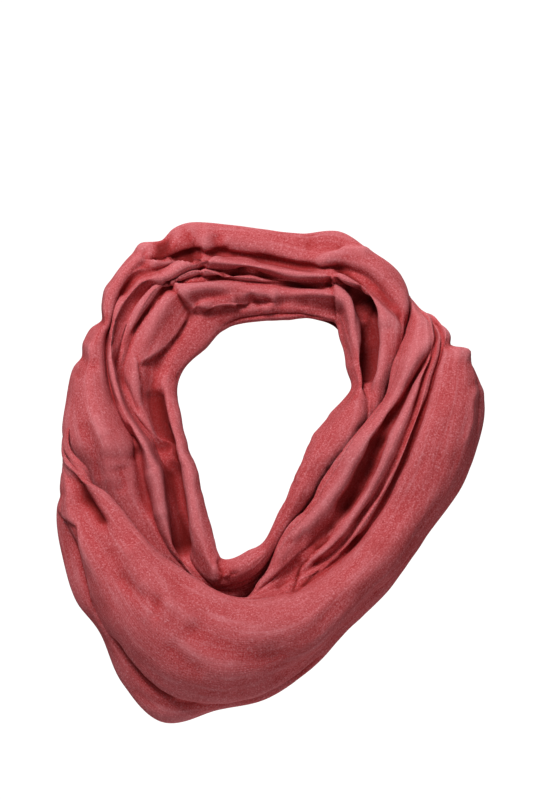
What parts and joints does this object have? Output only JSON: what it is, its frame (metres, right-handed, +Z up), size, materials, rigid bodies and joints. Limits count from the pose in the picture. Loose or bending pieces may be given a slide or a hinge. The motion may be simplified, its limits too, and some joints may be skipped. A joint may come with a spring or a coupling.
{
  "type": "infinity scarf, worn doubled, with no wearer",
  "caption": "Loop scarf of heathered jersey worn doubled, with soft folds round an open neck and a low draped front.",
  "frame": {"origin": "inner face of the cloth at the nape, where the scarf rests on the back of the wearer's neck", "axes": "+Z up, +Y towards the wearer's back, +X to the right as seen from the front"},
  "size_m": [0.357, 0.3226, 0.3686],
  "materials": {
    "jersey": "matte heathered coral-pink jersey knit"
  },
  "bodies": {
    "root": {"inner_nape": "jersey", "inner_right": "jersey", "inner_front": "jersey", "inner_left": "jersey", "outer_back": "jersey", "outer_right": "jersey", "outer_front": "jersey", "outer_left": "jersey"}
  },
  "joints": []
}
